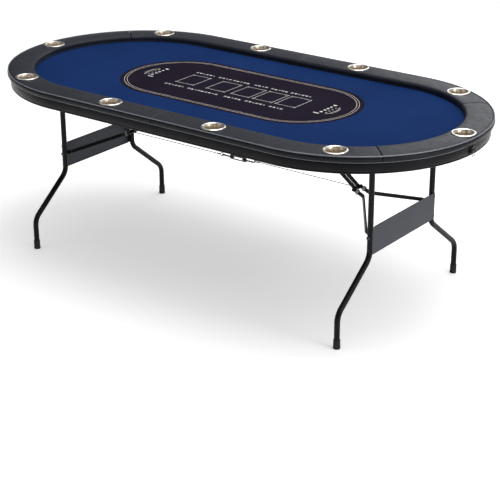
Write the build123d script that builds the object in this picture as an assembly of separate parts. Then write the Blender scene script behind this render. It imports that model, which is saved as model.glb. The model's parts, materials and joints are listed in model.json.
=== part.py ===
from build123d import *
import math
import os

# Folding card table: two hinged half tops with a padded rail and cup holders, two fold-in
# wishbone legs with knee braces, and a tie cable with a turnbuckle between the knees.
# Millimetres. Origin on the floor under the middle of the top, +X along the top, +Z up.

# ---- top -------------------------------------------------------------------------------
TABLE_HEIGHT = 762.0
END_RADIUS = 533.5  # outline: a stadium of two half circles
ARC_X = 533.5  # centre of each end's half circle
RAIL_WIDTH = 112.0
RAIL_BOTTOM = 734.0
RAIL_EDGE = 6.0
SEAM_ANGLE = 45.2  # where the end pad meets the side pads
SEAM_GAP = 0.8
FOLD_GAP = 0.3  # half of the gap between the two half tops
DECK_BOTTOM = 722.0
DECK_TOP = 733.7
CLOTH_TOP = 736.0
APRON_BOTTOM = 690.0
APRON_RADIUS = 522.0
APRON_WALL = 9.0
BATTEN_WIDTH = 18.0
BATTEN_NOTCH = 60.0
INNER_RADIUS = END_RADIUS - RAIL_WIDTH
RAIL_LINE = END_RADIUS - RAIL_WIDTH / 2

# ---- cup holders -----------------------------------------------------------------------
CUP_RADIUS = 34.0
CUP_WALL = 1.2
CUP_NOTCH = 3.0
CUP_BOTTOM = 700.0
CUP_LIP_RADIUS = 47.0
CUP_LIP_TOP = TABLE_HEIGHT + 2.2
CUP_SIDE_X = 250.0
CUP_ARC_ANGLE = 63.4

# ---- legs ------------------------------------------------------------------------------
LEG_X = 770.0
PIVOT_Z = 702.5
TUBE_RADIUS = 11.0
TUBE_WALL = 1.5
UPPER_Y = {"left": 213.0, "right": 218.0}
FOOT_Y = {"left": 409.0, "right": 424.0}
BEND_TOP_Z = 290.0
BEND_LOW_Z = 132.0
BEND_RADIUS = 60.0
FOOT_HEIGHT = 36.0
FOOT_RADIUS = 14.0
AXLE_RADIUS = 5.0
TUBE_ABOVE_PIVOT = 7.0
PANEL_TOP = 412.0
PANEL_LOW = 304.0
PANEL_THICK = 1.6

# ---- knee braces -----------------------------------------------------------------------
ARM_PIVOT_X = 240.0
ARM_PIVOT_Y = 120.0
BRACE_Z = 370.0  # lower arm's pivot on the leg
STOWED_REACH = 196.5  # distance between the two arm pivots when the leg is folded in
LOWER_SLOPE = 22.0
ARM_THICK = 6.0
ARM_HEIGHT = 14.0
PIN_RADIUS = 4.0
RUNNING_GAP = 0.05
UPPER_STEM_Y = 13.0
LOWER_STEM_Y = 23.0

# ---- tie cable -------------------------------------------------------------------------
CABLE_RADIUS = 1.5
CABLE_Y = 6.0
CRIMP_RADIUS = 2.8
KNEE_LOOP = 6.2
BUCKLE_HALF = 41.0
BUCKLE_ROD_Z = 6.5
HOOK_X = 76.0
EYE_X = -74.0

# ---- centre hinges and tip latch --------------------------------------------------------
HINGE_Z = 685.0
HINGE_YS = (-380.0, 0.0, 380.0)
HINGE_LENGTH = 76.0
LATCH_Y = -15.0
LATCH_Z = 706.0
BAIL_OUT = 8.2
BAIL_RISE = 6.5

SIDES = {"left": -1, "right": 1}
ROUND = 1e-3


def knee_point():
    """The knee's place in the X-Z plane, and both arms' lengths and slopes."""
    run = LEG_X - ARM_PIVOT_X
    drop = PIVOT_Z - BRACE_Z
    slope = math.radians(LOWER_SLOPE)
    spread = run * math.cos(slope) + drop * math.sin(slope) + STOWED_REACH
    lower = (run**2 + drop**2 - STOWED_REACH**2) / (2 * spread)
    x = LEG_X - lower * math.cos(slope)
    z = BRACE_Z + lower * math.sin(slope)
    upper = math.hypot(x - ARM_PIVOT_X, PIVOT_Z - z)
    upper_slope = math.degrees(math.atan2(PIVOT_Z - z, x - ARM_PIVOT_X))
    return x, z, upper, lower, upper_slope


KNEE_X, KNEE_Z, UPPER_LENGTH, LOWER_LENGTH, UPPER_SLOPE = knee_point()


def half_stadium(radius, start=FOLD_GAP):
    """The +X half of a stadium outline."""
    low = (start, -radius)
    high = (start, radius)
    outline = Curve() + [
        Line(low, (ARC_X, -radius)),
        ThreePointArc((ARC_X, -radius), (ARC_X + radius, 0), (ARC_X, radius)),
        Line((ARC_X, radius), high),
        Line(high, low),
    ]
    return make_face(outline)


def plate(face, low, high):
    return extrude(Pos(0, 0, low) * face, high - low)


def cup_places():
    """The five cup centres of the +X half."""
    angle = math.radians(CUP_ARC_ANGLE)
    arc_x = ARC_X + RAIL_LINE * math.cos(angle)
    arc_y = RAIL_LINE * math.sin(angle)
    return [
        (CUP_SIDE_X, -RAIL_LINE),
        (arc_x, -arc_y),
        (ARC_X + RAIL_LINE, 0),
        (arc_x, arc_y),
        (CUP_SIDE_X, RAIL_LINE),
    ]


def drill_cups(solid, radius):
    for x, y in cup_places():
        solid -= Pos(x, y, TABLE_HEIGHT - 30) * Cylinder(radius, 100)
    return solid


def y_rod(radius, x, z, low, high):
    """A round rod along Y."""
    middle = Pos(x, (low + high) / 2, z)
    return middle * Rot(90, 0, 0) * Cylinder(radius, high - low)


def x_rod(radius, low, high, y, z):
    """A round rod along X."""
    return Pos((low + high) / 2, y, z) * Rot(0, 90, 0) * Cylinder(radius, high - low)


def block(x_low, x_high, y_low, y_high, z_low, z_high):
    middle = Pos((x_low + x_high) / 2, (y_low + y_high) / 2, (z_low + z_high) / 2)
    return middle * Box(x_high - x_low, y_high - y_low, z_high - z_low)


# ---- top --------------------------------------------------------------------------------
def deck():
    """The board under the cloth. The cups' notches run out through its edge."""
    board = plate(half_stadium(APRON_RADIUS - APRON_WALL - 0.2), DECK_BOTTOM, DECK_TOP)
    return drill_cups(board, CUP_RADIUS + CUP_NOTCH)


def cloth():
    return plate(half_stadium(INNER_RADIUS - 0.5), DECK_TOP, CLOTH_TOP)


def rail_band():
    """The whole half rail, with its upper edges bevelled and its cup holes bored."""
    ring = half_stadium(END_RADIUS) - half_stadium(INNER_RADIUS)
    band = plate(ring, RAIL_BOTTOM, TABLE_HEIGHT)
    top = [e for e in band.edges() if abs(e.center().Z - TABLE_HEIGHT) < ROUND]
    rims = [e for e in top if abs(e.center().X - FOLD_GAP) > 1]
    return drill_cups(chamfer(rims, RAIL_EDGE), CUP_RADIUS + 0.3)


def rail_zone(name):
    """The region of the plan that one pad of the half rail fills."""
    far = 2000.0
    x = far * math.cos(math.radians(SEAM_ANGLE))
    y = far * math.sin(math.radians(SEAM_ANGLE))
    if name == "end":
        points = [(ARC_X, 0), (ARC_X + x, -y), (ARC_X + x, y)]
    else:
        sign = -1 if name == "front" else 1
        apex = ARC_X - SEAM_GAP
        points = [(-1, 0), (apex, 0), (apex + x, sign * y), (-1, sign * y)]
    return extrude(make_face(Polyline(*points, close=True)), 1000)


def rails():
    band = rail_band()
    return {name: band & rail_zone(name) for name in ("front", "end", "back")}


def apron():
    ring = half_stadium(APRON_RADIUS) - half_stadium(APRON_RADIUS - APRON_WALL)
    return plate(ring, APRON_BOTTOM, DECK_TOP)


def batten():
    """The cross bar at the fold line, notched in the middle for the stowed cable."""
    reach = APRON_RADIUS - APRON_WALL - 0.2
    bar = block(FOLD_GAP, FOLD_GAP + BATTEN_WIDTH, -reach, reach, APRON_BOTTOM, DECK_BOTTOM)
    half = BATTEN_NOTCH / 2
    return bar - block(-1, 30, -half, half, APRON_BOTTOM + 4, DECK_BOTTOM + 1)


def cup():
    """A spun metal cup with a flat lip, on the Z axis."""
    inner = CUP_RADIUS - CUP_WALL
    profile = Polyline(
        (0, CUP_BOTTOM),
        (CUP_RADIUS - 3, CUP_BOTTOM),
        (CUP_RADIUS, CUP_BOTTOM + 3),
        (CUP_RADIUS, TABLE_HEIGHT + 0.2),
        (CUP_LIP_RADIUS, TABLE_HEIGHT + 0.2),
        (CUP_LIP_RADIUS, TABLE_HEIGHT + 1.0),
        (CUP_LIP_RADIUS - 2, CUP_LIP_TOP),
        (inner + 2.4, CUP_LIP_TOP),
        (inner, CUP_LIP_TOP - 2.4),
        (inner, CUP_BOTTOM + 4.2),
        (inner - 3, CUP_BOTTOM + CUP_WALL),
        (0, CUP_BOTTOM + CUP_WALL),
        close=True,
    )
    return revolve(Plane.XZ * make_face(profile), Axis.Z)


# ---- legs -------------------------------------------------------------------------------
def leg_tube(side, sign):
    """One bent tube of the wishbone, drilled for the axle, brace bolt and panel screws."""
    upper = UPPER_Y[side]
    foot = FOOT_Y[side]
    points = [
        (LEG_X, sign * upper, PIVOT_Z + TUBE_ABOVE_PIVOT),
        (LEG_X, sign * upper, BEND_TOP_Z),
        (LEG_X, sign * foot, BEND_LOW_Z),
        (LEG_X, sign * foot, 6),
    ]
    path = FilletPolyline(*points, radius=BEND_RADIUS)
    ring = Circle(TUBE_RADIUS) - Circle(TUBE_RADIUS - TUBE_WALL)
    tube = sweep(Plane(origin=points[0], z_dir=(0, 0, -1)) * ring, path)
    tube -= y_rod(AXLE_RADIUS, LEG_X, PIVOT_Z, sign * upper - 20, sign * upper + 20)
    tube -= y_rod(PIN_RADIUS, LEG_X, BRACE_Z, sign * upper - 20, sign * upper + 20)
    for z in screw_heights():
        tube -= x_rod(2.0, LEG_X, LEG_X + 20, sign * upper, z)
    return tube


def screw_heights():
    return PANEL_LOW + 14, PANEL_TOP - 14


def leg_axle(side):
    reach = UPPER_Y[side] + 26
    rod = y_rod(AXLE_RADIUS, LEG_X, PIVOT_Z, -reach, reach)
    for sign in (-1, 1):
        ends = sorted((sign * reach, sign * (reach + 4)))
        rod += y_rod(AXLE_RADIUS + 3, LEG_X, PIVOT_Z, *ends)
    return rod


def leg_panel(side):
    """The sheet across the outer faces of both tubes, with rolled top and bottom edges."""
    reach = UPPER_Y[side] + 4
    face_x = LEG_X + TUBE_RADIUS + 0.1
    sheet = block(face_x, face_x + PANEL_THICK, -reach, reach, PANEL_LOW, PANEL_TOP)
    inside = UPPER_Y[side] - TUBE_RADIUS - 2
    for z_low, z_high in ((PANEL_LOW, PANEL_LOW + 2), (PANEL_TOP - 2, PANEL_TOP)):
        sheet += block(face_x - 3, face_x + 1, -inside, inside, z_low, z_high)
    for sign in (-1, 1):
        for z in screw_heights():
            sheet -= x_rod(2.0, LEG_X, LEG_X + 20, sign * UPPER_Y[side], z)
    return sheet


def leg_bolts(side):
    """The brace bolts through the tubes, and the four panel screws."""
    parts = []
    face_x = LEG_X + TUBE_RADIUS + 0.1 + PANEL_THICK
    for sign in (-1, 1):
        y = UPPER_Y[side]
        inner = y - TUBE_RADIUS - 2 * ARM_THICK - 1.6
        spans = [
            (PIN_RADIUS, inner, y + TUBE_RADIUS + 5),
            (7.0, y + TUBE_RADIUS + 1, y + TUBE_RADIUS + 5),
            (6.5, inner, inner + 4.8),
        ]
        bolt = Part()
        for radius, low, high in spans:
            bolt += y_rod(radius, LEG_X, BRACE_Z, *sorted((sign * low, sign * high)))
        parts.append(bolt)
        for z in screw_heights():
            shank = x_rod(2.0, LEG_X + 6, face_x + 1, sign * y, z)
            parts.append(shank + x_rod(5.0, face_x, face_x + 1.6, sign * y, z))
    return Compound(children=parts)


def leg_feet(side):
    """Flared rubber caps on the tube ends."""
    profile = Polyline(
        (0, 0),
        (FOOT_RADIUS - 1.5, 0),
        (FOOT_RADIUS, 2),
        (FOOT_RADIUS - 0.8, 10),
        (TUBE_RADIUS + 2, FOOT_HEIGHT),
        (TUBE_RADIUS + 0.02, FOOT_HEIGHT),
        (TUBE_RADIUS + 0.02, 6),
        (0, 6),
        close=True,
    )
    foot = revolve(Plane.XZ * make_face(profile), Axis.Z)
    return Compound(children=[Pos(LEG_X, s * FOOT_Y[side], 0) * foot for s in (-1, 1)])


def hanger(x, y, radius, ear_gap, drop):
    """A plate screwed under the deck with one or two drilled ears for a pin along Y."""
    foot = block(x - 25, x + 25, y - 14, y + 14, DECK_BOTTOM - 3, DECK_BOTTOM)
    for ear in ear_gap:
        tab = block(x - 10, x + 10, y + ear - 2, y + ear + 2, PIVOT_Z, DECK_BOTTOM - 2)
        tab += y_rod(10, x, PIVOT_Z, y + ear - 2, y + ear + 2)
        foot += tab
    foot -= block(x - 30, x + 30, y - 20, y + 20, PIVOT_Z - 20, PIVOT_Z - drop)
    foot -= y_rod(radius + RUNNING_GAP, x, PIVOT_Z, y - 20, y + 20)
    return foot


def leg_brackets(side):
    y = UPPER_Y[side] + 18
    return Compound(children=[hanger(LEG_X, s * y, AXLE_RADIUS, (0,), 10) for s in (-1, 1)])


def arm_brackets():
    """Two clevises under the deck, each with its own pin."""
    parts = []
    for sign in (-1, 1):
        y = sign * ARM_PIVOT_Y
        parts.append(hanger(ARM_PIVOT_X, y, PIN_RADIUS, (-7, 7), 10))
        parts.append(y_rod(PIN_RADIUS, ARM_PIVOT_X, PIVOT_Z, y - 11, y + 11))
    return Compound(children=parts)


# ---- knee braces ------------------------------------------------------------------------
def bent_bar(points, length):
    """A flat bar bent to points (along, sideways), drilled at 0 and at length, end to end.

    Along is local X, sideways local Y, and the bar's height local Z.
    """
    strip = trace(FilletPolyline(*points, radius=18), line_width=ARM_THICK)
    bar = extrude(Pos(0, 0, -ARM_HEIGHT / 2) * strip, ARM_HEIGHT)
    shape = block(0, length, -500, 500, -ARM_HEIGHT / 2, ARM_HEIGHT / 2)
    for along in (0, length):
        shape += y_rod(ARM_HEIGHT / 2, along, 0, -500, 500)
    bar = bar & shape
    for along in (0, length):
        bar -= y_rod(PIN_RADIUS + RUNNING_GAP, along, 0, -500, 500)
    return bar


def place_arm(bar, x, z, slope):
    """Turn a bar's local X to a slope in the X-Z plane, and move its 0 point to x, z."""
    return Pos(x, 0, z) * Rot(0, slope, 0) * bar


def upper_arms():
    stem = UPPER_STEM_Y
    points = [
        (-ARM_HEIGHT / 2, stem),
        (112, stem),
        (UPPER_LENGTH - 60, ARM_PIVOT_Y),
        (UPPER_LENGTH + ARM_HEIGHT / 2, ARM_PIVOT_Y),
    ]
    bar = bent_bar(points, UPPER_LENGTH)
    pair = [bar, mirror(bar, Plane.XZ)]
    slope = UPPER_SLOPE + 180
    return Compound(children=[place_arm(b, KNEE_X, KNEE_Z, slope) for b in pair])


def lower_arms(side):
    stem = LOWER_STEM_Y
    end = UPPER_Y[side] - TUBE_RADIUS - 1.2 - ARM_THICK / 2
    points = [
        (-ARM_HEIGHT / 2, stem),
        (46, stem),
        (LOWER_LENGTH - 30, end),
        (LOWER_LENGTH + ARM_HEIGHT / 2, end),
    ]
    bar = bent_bar(points, LOWER_LENGTH)
    face = stem + ARM_THICK / 2
    bar += y_rod(PIN_RADIUS + RUNNING_GAP + 0.5, 0, 0, stem - ARM_THICK / 2, face)
    bar += y_rod(ARM_HEIGHT / 2 - 0.5, 0, 0, face - 1, face + 3.5)
    pair = [bar, mirror(bar, Plane.XZ)]
    return Compound(children=[place_arm(b, KNEE_X, KNEE_Z, LOWER_SLOPE) for b in pair])


def knee_pin():
    reach = UPPER_STEM_Y + ARM_THICK / 2 + 0.5
    return y_rod(PIN_RADIUS, KNEE_X, KNEE_Z, -reach, reach)


def lock_rings():
    """A short square collar on each lower arm, beside the knee."""
    wall = 1.8
    half_y = ARM_THICK / 2 + 0.3
    half_z = ARM_HEIGHT / 2 + 0.3
    rings = []
    for sign in (-1, 1):
        y = sign * LOWER_STEM_Y
        ring = block(12, 23, y - half_y - wall, y + half_y + wall, -half_z - wall, half_z + wall)
        ring -= block(0, 50, y - half_y, y + half_y, -half_z, half_z)
        rings.append(place_arm(ring, KNEE_X, KNEE_Z, LOWER_SLOPE))
    return Compound(children=rings)


# ---- tie cable --------------------------------------------------------------------------
def loop(x, y, radius, wire, flat=False):
    turn = Rot(0, 0, 0) if flat else Rot(90, 0, 0)
    return Pos(x, y, KNEE_Z) * turn * Torus(radius, wire)


def cable(y, knee_x, far_x, far_radius):
    """A straight wire rope with a crimped loop at each end."""
    step = math.copysign(1, far_x - knee_x)
    near = knee_x + step * (KNEE_LOOP - 0.4)
    far = far_x - step * (far_radius - 0.4)
    rope = x_rod(CABLE_RADIUS, *sorted((near, far)), y, KNEE_Z)
    for start, sense in ((near, step), (far, -step)):
        ends = sorted((start + sense * 2.0, start + sense * 17))
        rope += x_rod(CRIMP_RADIUS, *ends, y, KNEE_Z)
    rope += loop(knee_x, y, KNEE_LOOP, CABLE_RADIUS)
    rope += loop(far_x, y, far_radius, CABLE_RADIUS)
    return rope


def turnbuckle_eye():
    """The left-hand screw, with its eye lying flat so that the cable's loop links it."""
    screw = x_rod(3.0, EYE_X + 6, -BUCKLE_HALF + 20, -CABLE_Y, KNEE_Z)
    eye = loop(EYE_X, -CABLE_Y, 6.0, 1.8, flat=True)
    return eye + (screw - Pos(EYE_X, -CABLE_Y, KNEE_Z) * Cylinder(5.0, 12))


def turnbuckle_body():
    """An open frame: two threaded ferrules joined by two side rods."""
    frame = Part()
    for sign in (-1, 1):
        ends = sorted((sign * BUCKLE_HALF, sign * (BUCKLE_HALF - 14)))
        frame += x_rod(5.0, *ends, -CABLE_Y, KNEE_Z)
        z = KNEE_Z + sign * BUCKLE_ROD_Z
        frame += x_rod(2.4, -BUCKLE_HALF + 1, BUCKLE_HALF - 1, -CABLE_Y, z)
    return frame - x_rod(3.0 + RUNNING_GAP, -60, 60, -CABLE_Y, KNEE_Z)


def turnbuckle_hook():
    """The right-hand screw, ending in a headed side stud that holds the other cable's loop."""
    screw = x_rod(3.0, BUCKLE_HALF - 20, HOOK_X + 2, -CABLE_Y, KNEE_Z)
    stud = y_rod(2.0, HOOK_X, KNEE_Z, -CABLE_Y, 9.4)
    return screw + stud + y_rod(2.8, HOOK_X, KNEE_Z, 8.2, 9.4)


# ---- centre hinges and tip latch ----------------------------------------------------------
def hinge_leaves(sign):
    """Butt hinge leaves under one batten. The two sides' knuckles alternate."""
    parts = []
    for y in HINGE_YS:
        half = HINGE_LENGTH / 2
        leaf = block(FOLD_GAP, 26, y - half, y + half, APRON_BOTTOM - 2, APRON_BOTTOM - 0.05)
        slot = HINGE_LENGTH / 5
        for i in range(5):
            low = y - half + i * slot
            mine = (i % 2 == 0) == (sign < 0)
            if mine:
                knuckle = y_rod(4, 0, HINGE_Z, low + 0.2, low + slot - 0.2)
                neck = block(0, 6, low + 0.2, low + slot - 0.2, HINGE_Z, APRON_BOTTOM - 2)
                leaf += knuckle + neck
            else:
                leaf -= y_rod(4.5, 0, HINGE_Z, low - 0.2, low + slot + 0.2)
        leaf -= y_rod(1.8 + RUNNING_GAP, 0, HINGE_Z, y - half - 1, y + half + 1)
        parts.append(leaf)
    return Compound(children=parts)


def hinge_pins():
    half = HINGE_LENGTH / 2
    return Compound(children=[y_rod(1.8, 0, HINGE_Z, y - half, y + half) for y in HINGE_YS])


def latch_face():
    return ARC_X + APRON_RADIUS + 0.1


def latch_base():
    """The draw latch's plate on the end of the apron, with two ears for the lever's pin."""
    x = latch_face()
    base = block(x, x + 1.6, LATCH_Y - 15, LATCH_Y + 15, LATCH_Z - 10, LATCH_Z + 20)
    for side in (-1, 1):
        y = LATCH_Y + side * 12
        base += block(x, x + 8, y - 1, y + 1, LATCH_Z - 4, LATCH_Z + 4)
    return base - y_rod(1.5 + RUNNING_GAP, x + 5, LATCH_Z, LATCH_Y - 20, LATCH_Y + 20)


def latch_lever():
    x = latch_face()
    lever = block(x + 2.6, x + 4.4, LATCH_Y - 9, LATCH_Y + 9, LATCH_Z, LATCH_Z + 18)
    lever += y_rod(2.4, x + 5, LATCH_Z, LATCH_Y - 9, LATCH_Y + 9)
    lever += block(x + 3.5, x + 7, LATCH_Y - 9, LATCH_Y + 9, LATCH_Z + 16, LATCH_Z + 18)
    lever += y_rod(1.5, x + 5, LATCH_Z, LATCH_Y - 13.5, LATCH_Y + 13.5)
    bail_z = LATCH_Z + BAIL_RISE
    lever += block(x + 3.5, x + BAIL_OUT, LATCH_Y - 9, LATCH_Y + 9, bail_z - 1.8, bail_z + 1.8)
    lever += y_rod(1.8, x + BAIL_OUT, bail_z, LATCH_Y - 9, LATCH_Y + 9)
    return lever - y_rod(0.8 + RUNNING_GAP, x + BAIL_OUT, bail_z, LATCH_Y - 20, LATCH_Y + 20)


def latch_bail():
    """A wire loop hung through the lever, which catches the other half's keeper."""
    x = latch_face() + BAIL_OUT
    z = LATCH_Z + BAIL_RISE
    bar = y_rod(0.8, x, z, LATCH_Y - 10.6, LATCH_Y + 10.6)
    for side in (-1, 1):
        y = LATCH_Y + side * 10.0
        bar += block(x - 0.8, x + 0.8, y - 0.7, y + 0.7, z - 22, z + 0.8)
    low = z - 22
    return bar + block(x - 0.8, x + 0.8, LATCH_Y - 10.7, LATCH_Y + 10.7, low - 1.2, low + 0.4)


def latch_keeper():
    x = latch_face()
    plate_part = block(x, x + 1.6, LATCH_Y - 12, LATCH_Y + 12, LATCH_Z - 10, LATCH_Z + 12)
    lip = block(x, x + 5, LATCH_Y - 8, LATCH_Y + 8, LATCH_Z - 6, LATCH_Z - 4)
    return plate_part + lip + block(x + 3.6, x + 5, LATCH_Y - 8, LATCH_Y + 8, LATCH_Z - 6, LATCH_Z)


# ---- assembly -----------------------------------------------------------------------------
def on_side(shape, sign):
    """Everything is drawn on the +X half: the left half is its mirror image."""
    return shape if sign > 0 else mirror(shape, Plane.YZ)


def top_parts():
    parts = {"deck": deck(), "cloth": cloth(), "apron": apron(), "batten": batten()}
    for name, pad in rails().items():
        parts["rail_" + name] = pad
    for number, (x, y) in enumerate(cup_places(), 1):
        parts[f"cup_{number}"] = Pos(x, y, 0) * cup()
    return parts


def leg_parts(side):
    return {
        "leg_front": leg_tube(side, -1),
        "leg_back": leg_tube(side, 1),
        "leg_axle": leg_axle(side),
        "leg_panel": leg_panel(side),
        "leg_bolts": leg_bolts(side),
        "leg_feet": leg_feet(side),
        "leg_brackets": leg_brackets(side),
        "arm_brackets": arm_brackets(),
        "upper_arms": upper_arms(),
        "lower_arms": lower_arms(side),
        "knee_pin": knee_pin(),
        "lock_rings": lock_rings(),
    }


def middle_parts():
    right_loop = KNEE_LOOP - 0.1
    return {
        "left_cable": cable(-CABLE_Y, -KNEE_X, EYE_X - 9.2, 7.0),
        "right_cable": cable(CABLE_Y, KNEE_X, HOOK_X + 2.3, right_loop),
        "turnbuckle_eye": turnbuckle_eye(),
        "turnbuckle_body": turnbuckle_body(),
        "turnbuckle_hook": turnbuckle_hook(),
        "hinge_pins": hinge_pins(),
        "latch_base": latch_base(),
        "latch_lever": latch_lever(),
        "latch_bail": latch_bail(),
        "latch_keeper": on_side(latch_keeper(), -1),
    }


def main():
    parts = middle_parts()
    top = top_parts()
    for side, sign in SIDES.items():
        for name, shape in {**top, **leg_parts(side)}.items():
            parts[f"{side}_{name}"] = on_side(shape, sign)
        parts[f"{side}_hinge_leaves"] = on_side(hinge_leaves(sign), sign)
    os.makedirs("parts", exist_ok=True)
    for name, shape in parts.items():
        export_step(shape, f"parts/{name}.step")
    print(len(parts), "sub-parts, knee at", round(KNEE_X, 2), round(KNEE_Z, 2))


main()
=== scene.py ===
import json
import math

import bmesh
import bpy
from mathutils import Matrix, Vector, noise

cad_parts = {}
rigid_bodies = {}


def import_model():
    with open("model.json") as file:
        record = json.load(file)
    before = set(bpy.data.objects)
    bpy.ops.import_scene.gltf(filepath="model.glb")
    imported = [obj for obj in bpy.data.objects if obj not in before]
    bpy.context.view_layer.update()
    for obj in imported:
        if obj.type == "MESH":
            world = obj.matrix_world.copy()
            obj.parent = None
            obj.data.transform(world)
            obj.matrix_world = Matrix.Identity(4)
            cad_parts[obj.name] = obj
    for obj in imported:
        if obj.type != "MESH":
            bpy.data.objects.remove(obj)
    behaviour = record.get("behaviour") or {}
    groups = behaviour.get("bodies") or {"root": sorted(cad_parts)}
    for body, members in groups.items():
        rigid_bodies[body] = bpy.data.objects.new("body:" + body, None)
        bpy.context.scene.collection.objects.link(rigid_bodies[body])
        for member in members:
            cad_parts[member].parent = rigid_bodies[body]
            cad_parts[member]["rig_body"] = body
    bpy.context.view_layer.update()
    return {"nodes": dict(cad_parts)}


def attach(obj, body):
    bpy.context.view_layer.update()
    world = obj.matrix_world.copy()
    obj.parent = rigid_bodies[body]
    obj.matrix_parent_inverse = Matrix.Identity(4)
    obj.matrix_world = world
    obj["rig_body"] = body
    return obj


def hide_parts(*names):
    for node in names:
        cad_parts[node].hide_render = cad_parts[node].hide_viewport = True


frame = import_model()
nodes = frame["nodes"]
MM = 0.001
SIDES = {"left": -1, "right": 1}

# ---- sizes of the top, in mm, as in the frame ---------------------------------------------
ARC_X = 533.5
END_RADIUS = 533.5
INNER_RADIUS = 421.5
RAIL_LINE = (END_RADIUS + INNER_RADIUS) / 2
SEAM_ANGLE = 45.2
FOLD_START = 0.5
CLOTH_TOP = 736.0
CUP_SIDE_X = 250.0
CUP_ARC_ANGLE = 63.4
CUP_BOTTOM = 700.0
CUP_BORE_RADIUS = 38.5
RAIL_TOP = 762.0

# ---- the tie cable's ends, in mm, as in the frame ------------------------------------------
KNEE_X, KNEE_Z = 568.667, 451.344
KNEE_LOOP = 6.2
CABLE_Y = 6.0
EYE_X, EYE_LOOP = -83.2, 7.0
HOOK_X, HOOK_LOOP = 78.3, 6.1
LEFT_THREAD = (-66.0, -21.2)
RIGHT_THREAD = (21.2, 73.0)


# ---- materials ------------------------------------------------------------------------------
class Look:
    """A Principled material, built up from procedural layers in object coordinates."""

    def __init__(self, name, color, roughness, metallic=0.0, **sockets):
        self.mat = bpy.data.materials.new(name)
        self.mat.use_nodes = True
        self.nodes = self.mat.node_tree.nodes
        self.links = self.mat.node_tree.links
        self.shader = self.nodes["Principled BSDF"]
        self.shader.inputs["Base Color"].default_value = (*color, 1)
        self.shader.inputs["Roughness"].default_value = roughness
        self.shader.inputs["Metallic"].default_value = metallic
        for key, value in sockets.items():
            self.shader.inputs[key.replace("_", " ")].default_value = value
        self.coords = self.nodes.new("ShaderNodeTexCoord").outputs["Object"]
        self.height = None
        self.mat.diffuse_color = (*color, 1)

    def scaled(self, stretch):
        node = self.nodes.new("ShaderNodeMapping")
        node.inputs["Scale"].default_value = stretch
        self.links.new(self.coords, node.inputs["Vector"])
        return node.outputs["Vector"]

    def noise(self, scale, detail=3.0, stretch=None, distortion=0.0, source=None):
        node = self.nodes.new("ShaderNodeTexNoise")
        node.inputs["Scale"].default_value = scale
        node.inputs["Detail"].default_value = detail
        node.inputs["Distortion"].default_value = distortion
        vector = source or (self.scaled(stretch) if stretch else self.coords)
        self.links.new(vector, node.inputs["Vector"])
        return node.outputs["Fac"]

    def cells(self, scale, feature="DISTANCE_TO_EDGE"):
        node = self.nodes.new("ShaderNodeTexVoronoi")
        node.feature = feature
        node.inputs["Scale"].default_value = scale
        self.links.new(self.coords, node.inputs["Vector"])
        return node.outputs["Distance"]

    def waves(self, scale, axis, distortion=0.0):
        node = self.nodes.new("ShaderNodeTexWave")
        node.bands_direction = axis
        node.wave_profile = "SIN"
        node.inputs["Scale"].default_value = scale
        node.inputs["Distortion"].default_value = distortion
        node.inputs["Detail"].default_value = 2.0
        self.links.new(self.coords, node.inputs["Vector"])
        return node.outputs["Fac"]

    def math(self, operation, a, b=0.0):
        node = self.nodes.new("ShaderNodeMath")
        node.operation = operation
        for i, value in enumerate((a, b)):
            if isinstance(value, (int, float)):
                node.inputs[i].default_value = value
            else:
                self.links.new(value, node.inputs[i])
        return node.outputs["Value"]

    def ramp(self, source, *stops):
        node = self.nodes.new("ShaderNodeValToRGB")
        ramp = node.color_ramp
        for i, (place, color) in enumerate(stops):
            stop = ramp.elements[i] if i < 2 else ramp.elements.new(place)
            stop.position = place
            stop.color = (*color, 1) if not isinstance(color, (int, float)) else (color,) * 3 + (1,)
        self.links.new(source, node.inputs["Fac"])
        return node.outputs["Color"]

    def span(self, source, low, high):
        """Spreads the middle of a 0 to 1 source over low to high."""
        node = self.nodes.new("ShaderNodeMapRange")
        for key, value in (("From Min", 0.3), ("From Max", 0.7), ("To Min", low), ("To Max", high)):
            node.inputs[key].default_value = value
        self.links.new(source, node.inputs["Value"])
        return node.outputs["Result"]

    def mix(self, factor, a, b, blend="MIX"):
        node = self.nodes.new("ShaderNodeMix")
        node.data_type = "RGBA"
        node.blend_type = blend
        for key, value in (("Factor", factor), ("A", a), ("B", b)):
            sockets = [s for s in node.inputs if s.name == key and s.enabled]
            if isinstance(value, (int, float)):
                sockets[0].default_value = value
            elif isinstance(value, tuple):
                sockets[0].default_value = (*value, 1)
            else:
                self.links.new(value, sockets[0])
        return [s for s in node.outputs if s.enabled][0]

    def color(self, source):
        self.links.new(source, self.shader.inputs["Base Color"])
        return self

    def rough(self, source):
        self.links.new(source, self.shader.inputs["Roughness"])
        return self

    def bump(self, source, distance, strength=1.0):
        node = self.nodes.new("ShaderNodeBump")
        node.inputs["Distance"].default_value = distance
        node.inputs["Strength"].default_value = strength
        self.links.new(source, node.inputs["Height"])
        if self.height:
            self.links.new(self.height, node.inputs["Normal"])
        self.height = node.outputs["Normal"]
        self.links.new(self.height, self.shader.inputs["Normal"])
        return self


def leatherette(name, dark, light, roughness, specular):
    """Embossed vinyl: a fine pebble grain in cloudy, unevenly polished areas."""
    look = Look(name, dark, roughness, Specular_IOR_Level=specular)
    pebble = look.cells(620)
    fine = look.noise(1500, 3)
    cloud = look.noise(7, 4)
    wear = look.noise(38, 5, distortion=0.6)
    tone = look.ramp(cloud, (0.3, dark), (0.72, light))
    creases = look.ramp(pebble, (0.0, 0.55), (0.16, 1.0))
    look.color(look.mix(0.75, tone, creases, "MULTIPLY"))
    gloss = look.math("ADD", look.span(wear, -0.07, 0.07), look.span(fine, -0.04, 0.04))
    look.rough(look.math("ADD", gloss, roughness))
    look.bump(look.noise(26, 3), 0.0016, 0.35)
    look.bump(look.ramp(pebble, (0.0, 0.0), (0.3, 1.0)), 0.00012, 0.8)
    look.bump(fine, 0.00005, 0.5)
    return look.mat


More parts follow.
